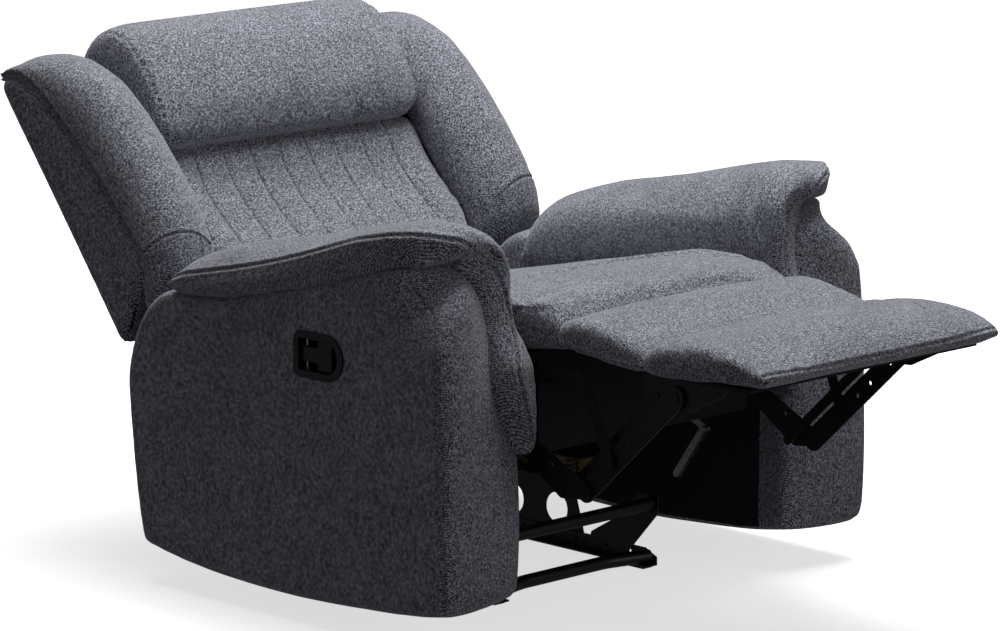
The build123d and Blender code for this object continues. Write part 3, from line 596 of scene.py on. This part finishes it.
def recessed(piece, node, rim_mm):
    """Opens the skin behind a plastic cup, a rim's width inside the cup's outline."""
    low, high = (np.array(corner) * 1000 - [0, plan_y, 0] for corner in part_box(node))
    low, high = low + [-40, rim_mm, rim_mm], high + [2, -rim_mm, -rim_mm]
    half, mid_z = (high[2] - low[2]) / 2, (high[2] + low[2]) / 2
    arc = np.linspace(math.pi / 2, 3 * math.pi / 2, 17)
    flat = [(low[1] + half + half * math.cos(a), mid_z + half * math.sin(a)) for a in arc]
    flat += [(high[1] - 4, low[2]), (high[1], low[2] + 4), (high[1], high[2] - 4), (high[1] - 4, high[2])]
    cutter = loft("cutter", [[(x, y, z) for y, z in flat] for x in (low[0], high[0])])
    cut = piece.modifiers.new("opening", "BOOLEAN")
    cut.operation = "DIFFERENCE"
    cut.solver = "EXACT"
    cut.object = cutter
    bake_modifiers(piece)
    bpy.data.objects.remove(cutter)


def arm_skin(name, side):
    tangent = np.roll(arm_outline, -1, 0) - np.roll(arm_outline, 1, 0)
    inward = np.stack([tangent[:, 1], -tangent[:, 0]], axis=1)
    inward /= np.linalg.norm(inward, axis=1, keepdims=True)
    middle = arm_outline.mean(0)
    if ((middle - arm_outline) * inward).sum() < 0:
        inward = -inward
    front = np.clip((-300 - arm_outline[:, 0]) / 70, 0, 1)[:, None]
    rings = []
    inner_face = [(*arm_layers[0], shrink) for shrink in face_rings]
    between = [(*layer, 1) for layer in arm_layers]
    outer_face = [(*arm_layers[-1], shrink) for shrink in face_rings[::-1]]
    for depth, draw_in, shrink in inner_face + between + outer_face:
        flat = arm_outline + inward * draw_in * (0.75 + 0.35 * front)
        flat = middle + (flat - middle) * shrink
        ring = np.column_stack([np.full(len(flat), side * (arm_inner + depth)), flat])
        rings.append(arm_front_shaped(ring, side))
    piece = even_skin(loft(name, rings), 6.5, 5)
    if side < 0:
        recessed(piece, "handle_bezel", 6)
    seams = [curve_through([(side * (arm_half - 2), y, z) for y, z in line], 150)
             for line in (side_seam, rear_seam)]
    seams = [on_skin(piece, line) for line in seams]
    refined(piece, seams, 11, 1)
    refined(piece, seams, 7, 1)
    pressed(piece, seams, 1.9, 2.4, 0.6)
    topstitch("frame", piece, seams[0], (-3.5,) if side > 0 else (3.5,))
    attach(piece, "frame")
    return piece


for word, side in (("left", 1), ("right", -1)):
    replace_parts(arm_skin(f"arm_skin_{word}", side), f"arm_cover_{word}")

# %% [markdown]
# The pad on top is one long stuffed roll. Its inner panel runs from the crest down to the seat, and a gusset
# closes the outside. At the front the roll ends in a rounded nose, and from there a tongue runs down the
# inner front corner. Both are lofted and skinned together. A double seam divides panel from gusset all the
# way from the rear end to the foot of the tongue.

# %% Arm pads
# Each section of the roll: y, underside z at the outer side, height of the seam, height of the crest.
pad_sections = [(240, 497, 506, 512), (228, 493, 515, 530), (200, 492, 526, 548), (150, 497, 538, 563),
                (94, 503, 548, 578), (20, 520, 565, 590), (-60, 538, 588, 606), (-130, 556, 610, 623),
                (-208, 576, 636, 642), (-270, 592, 650, 657), (-315, 600, 655, 660), (-345, 606, 650, 655),
                (-361, 616, 640, 644)]
pad_seam = [(484, 243, 508), (485, 210, 522), (486, 123, 541), (486, 33, 562), (486, -77, 592),
            (485, -193, 630), (482, -262, 645), (470, -312, 652), (446, -340, 648), (427, -352, 644),
            (413, -356, 640), (390, -351, 628), (368, -345, 617), (352, -342, 605), (340, -344, 594),
            (331, -349, 584), (326, -352, 572), (321, -356, 558), (315, -360, 530), (314, -368, 502),
            (322, -386, 470), (333, -401, 445), (332, -406, 420), (319, -409, 366), (305, -409, 322)]
# How wide the roll is at its nose: y, outermost x.
nose_width = [(-362, 408), (-356, 425), (-345, 440), (-315, 470), (-262, 484), (-200, 487), (240, 487)]
# Each section of the tongue: z, inner edge x, ridge x, outer edge x, ridge y, outer edge y.
tongue_sections = [(640, 330, 400, 450, -345, -315), (612, 312, 360, 425, -344, -318),
                   (590, 303, 337, 398, -348, -318), (560, 297, 322, 376, -356, -324),
                   (530, 294, 315, 363, -361, -336), (500, 292, 314, 357, -369, -349),
                   (470, 286, 322, 361, -388, -362), (440, 285, 332, 366, -405, -374),
                   (410, 284, 331, 366, -409, -381), (365, 284, 319, 354, -411, -386),
                   (330, 284, 307, 338, -410, -391), (308, 288, 303, 325, -408, -395),
                   (296, 298, 304, 314, -404, -398)]


def roll_section(y, under, seam, crest, side):
    """One cross-section of the roll: outer gusset, crest, inner panel down to the seat, and underside."""
    drop = value_along([(-400, 478), (-361, 478), (-200, 470), (0, 452), (150, 438), (300, 430)], y)
    wide = value_along(nose_width, y)
    crest_x = min(450, wide - 26)
    points = [(wide - 5, under), (wide, (under + seam) / 2), (wide - 3, seam), (crest_x, crest - 3),
              (min(405, crest_x - 24), crest + 1), (355, crest - 8), (318, crest - 30), (299, crest - 62),
              (294, max(crest - 105, drop + 12)), (294.5, drop), (300, drop - 2), (303, drop + 20),
              (330, under + 4), (min(420, wide - 30), under)]
    loop = curve_through(points, 64, closed=True)
    return np.column_stack([side * loop[:, 0], np.full(64, y), loop[:, 1]])


def tongue_section(z, inner, ridge_x, outer, ridge_y, outer_y, side):
    root = np.interp(z, [480, 560], [-352, -300])
    middle_x, middle_y = ridge_x * 0.4 + outer * 0.6, ridge_y + 0.35 * (outer_y - ridge_y)
    points = [(inner, root), (inner, ridge_y + 22), (inner + 4, ridge_y + 6), (ridge_x, ridge_y),
              (middle_x, middle_y), (outer, outer_y + 4), (outer - 2, root)]
    loop = curve_through(points, 48, closed=True)
    return np.column_stack([side * loop[:, 0], loop[:, 1], np.full(48, z)])


def arm_pad(name, side):
    roll = loft(name, [roll_section(*row, side) for row in pad_sections])
    tongue = loft(name + "_tongue", [tongue_section(*row, side) for row in tongue_sections])
    both = bmesh.new()
    both.from_mesh(roll.data)
    both.from_mesh(tongue.data)
    both.to_mesh(roll.data)
    both.free()
    bpy.data.objects.remove(tongue)
    piece = even_skin(roll, 6, 9)
    seam = on_skin(piece, curve_through([(side * x, y, z) for x, y, z in pad_seam], 320))
    stuffed(piece, 5, [seam])
    piece.modifiers.new("even", "SMOOTH").iterations = 3
    bake_modifiers(piece)
    seam = on_skin(piece, seam)
    refined(piece, [seam], 16, 1)
    refined(piece, [seam], 8, 1)
    pressed(piece, [seam], 2.6, 2.6, 1.2)
    topstitch("frame", piece, seam)
    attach(piece, "frame")
    return piece


for word, side in (("left", 1), ("right", -1)):
    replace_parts(arm_pad(f"arm_roll_{word}", side), f"arm_pad_{word}")

# %% [markdown]
# ## The back
# The back is a slab in its own cover, with a stuffed wing down each side, a headrest roll over the top and a
# lumbar cushion between. The cover's side panels show from the side and its rear panel from behind, so the
# slab is lofted across the chair from one side outline and drawn in at both ends.

# %% Back cover
back_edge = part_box("back_cover")[1].x * 1000
cover_outline = curve_through(
    [(240, -16), (261, -8), (422, -25), (567, -54), (630, -78), (660, -100), (673, -122), (668, -143),
     (642, -151), (480, -151), (300, -151), (185, -152), (168, -148), (168, -136), (180, -112), (222, -34)],
    220, closed=True)
cover_layers = [(0, 15), (3, 9), (8, 4.5), (18, 1.5), (40, 0)]  # distance in from the edge, and draw-in


def leaning(rings_xuv):
    """Rings of (x, u, v) points as drawing coordinates."""
    rings = np.asarray(rings_xuv, float)
    return np.stack(on_back(rings[..., 0], rings[..., 1], rings[..., 2]), axis=-1)


def drawn_in(outline, amount):
    """The closed outline, moved inwards by amount."""
    tangent = np.roll(outline, -1, 0) - np.roll(outline, 1, 0)
    inward = np.stack([tangent[:, 1], -tangent[:, 0]], axis=1)
    inward /= np.maximum(np.linalg.norm(inward, axis=1, keepdims=True), 1e-9)
    if ((outline.mean(0) - outline) * inward).sum() < 0:
        inward = -inward
    return outline + inward * amount


def across(outline, half, layers):
    """Rings of a piece that runs across the chair, drawn in at both ends."""
    spots = [(-half + depth, draw) for depth, draw in layers]
    spots += [(half - depth, draw) for depth, draw in layers[::-1]]
    return [np.column_stack([np.full(len(outline), x), drawn_in(outline, draw)]) for x, draw in spots]


def pushed_back(outline, amount):
    """The outline with its front face moved back, out of the cushions' way."""
    moved = outline.copy()
    moved[:, 1] -= amount * np.clip((moved[:, 1] + 150) / 80, 0, 1)
    return moved


cushion_room = 50
cushion_spots = (-385, -300, 300, 385)  # across the chair, where the room for the cushions starts
cover_rings = across(cover_outline, back_edge, cover_layers)
behind_cushions = pushed_back(cover_outline, cushion_room)
cover_rings[len(cover_layers):len(cover_layers)] = [
    np.column_stack([np.full(len(behind_cushions), x), behind_cushions]) for x in cushion_spots]
back_shell = even_skin(loft("back_shell", leaning(cover_rings)), 7, 4)
wing_seam = [(248, -4), (261, -6), (330, -14), (422, -24), (487, -33), (567, -52), (607, -63), (638, -78),
             (663, -100), (676, -128)]
rear_line = [(-424, 170), (-424, 300), (-424, 480), (-424, 646)]
rear_seams = []
for side in (1, -1):
    upright = curve_through([(side * -x, u, -151) for x, u in rear_line], 150)
    rear_seams.append(on_skin(back_shell, leaning(upright)))
level = curve_through([(-424, 640, -151), (0, 644, -151), (424, 640, -151)], 200)
rear_seams.append(on_skin(back_shell, leaning(level)))
refined(back_shell, rear_seams, 11, 1)
pressed(back_shell, rear_seams, 1.8, 2.6, 0.5)
for line in rear_seams:
    topstitch("back", back_shell, line, (4.0,))
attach(back_shell, "back")
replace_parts(back_shell, "back_cover")
print("back cover", [round(v) for v in points_of(back_shell).min(0)],
      [round(v) for v in points_of(back_shell).max(0)])

# %% [markdown]
# A wing is a long bolster. Sections up the back give the height of its outer seam and of its crown; it is
# swollen between that seam and the crease beside the cushions, and gathered a little at its lower end.

# %% Wings
# Up the back u, outer seam v, crown v.
wing_sections = [(176, -62, -48), (184, -48, -8), (205, -30, 26), (245, -8, 46), (300, -10, 56),
                 (370, -17, 58), (440, -26, 54), (500, -35, 45), (560, -50, 30), (598, -62, 8),
                 (634, -76, -18), (660, -96, -50), (677, -120, -84), (682, -140, -120)]
wing_inner = 296


def wing_section(u, seam, crown, side):
    points = [(438, seam), (437, seam + 14), (424, seam * 0.35 + crown * 0.65), (398, crown - 3),
              (368, crown), (336, crown - 9), (312, crown - 28), (wing_inner, crown - 52),
              (wing_inner - 4, min(crown - 70, -50)), (330, min(seam, crown) - 45),
              (400, min(seam, crown) - 45), (432, seam - 16)]
    loop = curve_through(points, 56, closed=True)
    return np.column_stack([side * loop[:, 0], np.full(56, u), loop[:, 1]])


gather_seed = 7


def gathered(piece, centre, reach_mm, along, depth_mm, folds_mm):
    """Small folds that run away from a seam and die out with distance from it."""
    draw = np.random.default_rng(gather_seed)
    points, normals = points_of(piece), normals_of(piece)
    near = np.exp(-(np.linalg.norm(points - centre, axis=1) / reach_mm) ** 2)
    run = (points - centre) @ (np.asarray(along) / np.linalg.norm(along))
    wander = sum(draw.uniform(0.5, 1) * np.sin(run / folds_mm * 2 * math.pi * k + draw.uniform(0, 6))
                 for k in (0.7, 1.0, 1.6))
    move_points(piece, points + normals * (near * wander * depth_mm / 2)[:, None])
    return piece


def wing(name, side):
    piece = even_skin(loft(name, leaning([wing_section(*row, side) for row in wing_sections])), 6, 8)
    outer = on_skin(piece, leaning(curve_through([(side * 437, u, v) for u, v in wing_seam], 260)))
    foot = on_skin(piece, leaning(curve_through([(side * 438, 258, -2), (side * 422, 262, 30),
                                                 (side * 388, 259, 52), (side * 350, 248, 55),
                                                 (side * 318, 234, 40)], 120)))
    stuffed(piece, 9, [outer])
    piece.modifiers.new("even", "SMOOTH").iterations = 3
    bake_modifiers(piece)
    refined(piece, [outer, foot], 14, 1)
    refined(piece, [outer, foot], 8, 1)
    pressed(piece, [on_skin(piece, outer)], 2.4, 2.6, 1.0)
    pressed(piece, [on_skin(piece, foot)], 2.6, 2.2, 0.8)
    gathered(piece, on_back(side * 330, 215, 30), 45, (1, 0, 0), 3.0, 22)
    topstitch("back", piece, outer)
    topstitch("back", piece, foot, (3.5 * side,))
    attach(piece, "back")
    return piece


for word, side in (("left", 1), ("right", -1)):
    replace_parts(wing(f"wing_{word}", side), f"back_wing_{word}")

# %% [markdown]
# The headrest is one pillow that rolls over the top. Its section is lofted across the chair with full, round
# ends. The lumbar cushion below it lies further back, with plain margins and eight straight sewn channels.

# %% Headrest
head_half = 297
head_outline = curve_through(
    [(446, -40), (444, -8), (456, 14), (490, 28), (540, 36), (595, 35), (640, 25), (672, 3), (690, -28),
     (694, -62), (684, -98), (660, -122), (600, -120), (500, -80)], 180, closed=True)
head_layers = [(0, 34), (3, 25), (9, 16), (18, 9), (32, 4), (54, 1), (90, 0)]
headrest = even_skin(loft("headrest", leaning(across(head_outline, head_half, head_layers))), 6.5, 8)
head_seams = []
for side in (1, -1):
    end = drawn_in(head_outline, 9)[::4]
    ring = leaning(np.column_stack([np.full(len(end), side * (head_half - 12)), end]))
    head_seams.append(on_skin(headrest, np.vstack([ring, ring[:1]])))
lower_edge = leaning(curve_through([(-285, 445, -4), (-150, 443, 0), (0, 443, 2), (150, 443, 0),
                                    (285, 445, -4)], 160))
stuffed(headrest, 13, [on_skin(headrest, lower_edge)] + head_seams, hold_mm=7)
headrest.modifiers.new("even", "SMOOTH").iterations = 3
bake_modifiers(headrest)
head_seams = [on_skin(headrest, line) for line in head_seams]
refined(headrest, head_seams, 12, 1)
pressed(headrest, head_seams, 2.6, 3.0, 0.8)
for side in (1, -1):
    gathered(headrest, on_back(side * 285, 618, 22), 42, (0, 1, 0.4), 2.6, 26)
    gathered(headrest, on_back(side * 285, 460, 5), 34, (1, 0.4, 0), 1.8, 22)
for line, offset in zip(head_seams, (4.0, -4.0)):
    topstitch("back", headrest, line, (offset,))
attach(headrest, "back")
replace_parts(headrest, "headrest_pillow")

# %% Lumbar cushion
lumbar_half = 318
channel_x = [-217, -155, -93, -31, 31, 93, 155, 217]
channel_top, channel_foot = 446, 150
lumbar_outline = curve_through([(470, -60), (460, -38), (430, -32), (385, -38), (340, -36), (285, -25),
                                (220, -8), (150, 6), (95, 10), (55, 0), (44, -40), (60, -80),
                                (200, -100), (400, -100), (465, -90)], 170, closed=True)
lumbar_layers = [(0, 30), (3, 21), (9, 13), (18, 7), (32, 3), (54, 0.8), (90, 0)]


def lumbar_front(u):
    """Height of the cushion's front at u."""
    return value_along([(44, -20), (95, 12), (150, 6), (220, -8), (285, -25), (340, -36), (385, -38),
                        (470, -34)], u)


lumbar = even_skin(loft("lumbar", leaning(across(lumbar_outline, lumbar_half, lumbar_layers))), 6, 6)
lumbar_points = points_of(lumbar)
up_back = ((lumbar_points[:, 1] - hinge_y) * math.sin(back_lean)
           + (lumbar_points[:, 2] - hinge_z) * math.cos(back_lean))
foot_taper = 0.09
lumbar_points[:, 0] *= 1 - foot_taper * np.clip((260 - up_back) / 60, 0, 1)
move_points(lumbar, lumbar_points)
rise = np.linspace(channel_foot, channel_top, 120)
channels = [on_skin(lumbar, leaning(np.column_stack([np.full(120, x), rise, lumbar_front(rise)])))
            for x in channel_x]
stuffed(lumbar, 9, channels, hold_mm=6)
channels = [on_skin(lumbar, line) for line in channels]
refined(lumbar, channels, 12, 1)
refined(lumbar, channels, 7, 1)
pressed(lumbar, channels, 2.8, 2.6, 0.5)
for line in channels:
    topstitch("back", lumbar, line, (-2.4,))
gathered(lumbar, on_back(-300, 300, -20), 48, (0, 1, 0.5), 2.4, 24)
gathered(lumbar, on_back(300, 300, -20), 48, (0, 1, 0.5), 2.4, 24)
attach(lumbar, "back")
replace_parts(lumbar, "lumbar_cushion")

# %% [markdown]
# Below the wings the back is not covered in the good cloth: black lining closes the slab from the foot of the
# side panels up to the wings. Its black is partly the lining's own colour and partly painted shade for the
# gap behind each arm.

# %% Black lining under the wings, partly painted shade
shade_lining_path = [(262, -26), (228, -36), (184, -112), (172, -142)]
shade_lining_rings = []
for thickness in (0, -3):
    shade_lining_rings.append([(u, v + thickness) for u, v in shade_lining_path])
shade_lining_loop = np.array(shade_lining_rings[0] + shade_lining_rings[1][::-1])
shade_lining_rows = [np.column_stack([np.full(len(shade_lining_loop), x), shade_lining_loop])
               for x in np.linspace(-432, 432, 25)]
# This black sheet is lining and also painted shade, standing in for the shade in the gap behind each arm.
back_lining_and_painted_shade = loft("back_lining_and_painted_shade", leaning(shade_lining_rows), lining)
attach(back_lining_and_painted_shade, "back")

# %% [markdown]
# ## Seat, leg rest and the pad between
# The seat has a rear panel and a raised knee roll, divided by an arched seam. The pad between seat and leg
# rest lies across the joint and is attached to neither body. The leg rest has its own pad with a thin front
# lip.

# %% Lofted pads that lie flat
def pad_section(y, half, top, bottom, crown, edge=16, lift=0.0):
    """One section across a flat pad: crowned top, full sides, flat underside."""
    side = top - crown
    middle = (side + bottom) / 2
    points = [(half, middle), (half - 3, side - edge * 0.35), (half - edge, side),
              (half * 0.66, top - crown * 0.42), (half * 0.33, top - crown * 0.08), (0, top),
              (-half * 0.33, top - crown * 0.08), (-half * 0.66, top - crown * 0.42), (edge - half, side),
              (3 - half, side - edge * 0.35), (-half, middle), (4 - half, bottom + 6),
              (20 - half, bottom), (0, bottom - lift), (half - 20, bottom), (half - 4, bottom + 6)]
    loop = curve_through(points, 120, closed=True)
    return np.column_stack([loop[:, 0], np.full(120, y), loop[:, 1]])


# %% Seat cushion
# y, half width, top z at the middle, underside z, how much lower the sides are.
seat_sections = [(236, 270, 410, 372, 10), (222, 286, 430, 362, 8), (173, 290, 440, 360, 7),
                 (110, 290, 452, 362, 6), (54, 290, 464, 366, 6), (-10, 290, 478, 372, 6),
                 (-70, 290, 490, 380, 6), (-130, 289, 502, 395, 7), (-190, 287, 517, 410, 8),
                 (-245, 283, 530, 430, 9), (-300, 279, 537, 446, 10), (-350, 275, 535, 456, 11),
                 (-395, 272, 529, 462, 11), (-425, 271, 520, 466, 12), (-440, 268, 508, 474, 14),
                 (-446, 262, 496, 484, 12)]
arch_seam = [(-262, -345), (-238, -312), (-205, -268), (-160, -216), (-100, -182), (0, -166), (100, -182),
             (160, -216), (205, -268), (238, -312), (262, -345)]
front_bulge = 14


def seat_top(y):
    rows = np.array(seat_sections)[::-1]
    return value_along(rows[:, [0, 2]], y)


seat = loft("seat", [pad_section(*row) for row in seat_sections])
seat_points = points_of(seat)
ahead = np.clip((-330 - seat_points[:, 1]) / 100, 0, 1)
seat_points[:, 1] -= ahead * front_bulge * (1 - (seat_points[:, 0] / 272) ** 2)
move_points(seat, seat_points)
even_skin(seat, 6.5, 7)
arch = curve_through(arch_seam, 260)
arch = on_skin(seat, np.column_stack([arch, seat_top(arch[:, 1])]))
stuffed(seat, 8, [arch], hold_mm=10)
arch = on_skin(seat, arch)
refined(seat, [arch], 16, 1)
refined(seat, [arch], 8, 1)
pressed(seat, [arch], 5.0, 9.0, 1.0)
pressed(seat, [arch], 2.4, 2.4)
topstitch("frame", seat, arch, (4.0,))
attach(seat, "frame")
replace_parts(seat, "seat_cushion")

# %% Pad between seat and leg rest
link_sections = [(-405, 262, 500, 470, 8), (-430, 270, 513, 466, 9), (-455, 271, 520, 462, 9),
                 (-490, 271, 518, 458, 9), (-530, 271, 510, 454, 8), (-565, 271, 501, 452, 7),
                 (-590, 271, 493, 450, 6), (-604, 270, 485, 452, 6), (-612, 266, 476, 458, 5)]
link_pad = even_skin(loft("link_pad", [pad_section(*row) for row in link_sections]), 6, 6)
stuffed(link_pad, 1.5)
link_edges = [on_skin(link_pad, curve_through([(side * 272, -420, 466), (side * 272, -500, 457),
                                               (side * 272, -600, 452)], 120)) for side in (1, -1)]
refined(link_pad, link_edges, 12, 1)
pressed(link_pad, link_edges, 1.6, 2.4, 1.2)
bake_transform(link_pad)
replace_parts(link_pad, "chaise_pad")

# %% Leg rest pad
leg_sections = [(-594, 264, 484, 456, 5), (-603, 272, 492, 452, 6), (-622, 277, 502, 451, 7),
                (-655, 279, 511, 451, 9), (-700, 280, 516, 453, 10), (-745, 280, 517, 456, 11),
                (-785, 280, 514, 459, 11), (-815, 279, 508, 462, 11), (-838, 276, 499, 464, 10),
                (-852, 270, 488, 467, 7), (-858, 262, 481, 471, 4)]
leg_pad = even_skin(loft("leg_rest_pad", [pad_section(*row) for row in leg_sections]), 6, 6)
front_seam = on_skin(leg_pad, curve_through([(-262, -846, 478), (-150, -853, 479), (0, -855, 479),
                                             (150, -853, 479), (262, -846, 478)], 240))
end_seam = curve_through([(266, -600, 494), (252, -650, 506), (228, -701, 510), (198, -755, 510),
                          (163, -812, 503), (142, -850, 486)], 160)
end_seams = [on_skin(leg_pad, end_seam)]
stuffed(leg_pad, 4, [front_seam] + end_seams, hold_mm=8)
front_seam = on_skin(leg_pad, front_seam)
end_seams = [on_skin(leg_pad, line) for line in end_seams]
refined(leg_pad, [front_seam] + end_seams, 13, 1)
refined(leg_pad, [front_seam] + end_seams, 7, 1)
pressed(leg_pad, [front_seam], 2.2, 2.4, 0.8)
pressed(leg_pad, end_seams, 1.8, 2.0, 0.4)
topstitch("legrest", leg_pad, front_seam, (4.0,))
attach(leg_pad, "legrest")
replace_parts(leg_pad, "rest_pad", "rest_board")

# %% [markdown]
# Cloth is saved where nobody looks. Below the seat the inside of each arm is covered in black lining, and so
# is the underside of the leg rest, where the lining hides the board that its pad is stapled to.

# %% Black linings inside the arms and under the leg rest
def thin_panel(name, outline, low, high, axis, body):
    """A sheet of lining: a flat outline with a thickness from low to high along one axis."""
    flat = np.asarray(outline, float)
    rings = [np.insert(flat, axis, level, axis=1) for level in (low, high)]
    sheet = loft(name, rings, lining)
    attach(sheet, body)
    return sheet


inside_arm = [(-322, 70), (-324, 300), (-318, 436), (-100, 436), (50, 428), (150, 406), (240, 380),
              (310, 370), (322, 300), (306, 92), (200, 62), (-60, 52), (-280, 64)]
for word, side in (("left", 1), ("right", -1)):
    thin_panel(f"arm_lining_{word}", inside_arm, side * (arm_inner - 1.2), side * (arm_inner + 3), 0,
               "frame")
thin_panel("leg_rest_lining", [(-258, -816), (-262, -606), (262, -606), (258, -816)], 449.6, 455, 2,
           "legrest")

# %% [markdown]
# The rows of stitches were remembered seam by seam. Now each body's rows are sewn as one piece.

# %% Sew every remembered line
for body, lines in sewn.items():
    sew(f"{body}_stitches", body, lines)
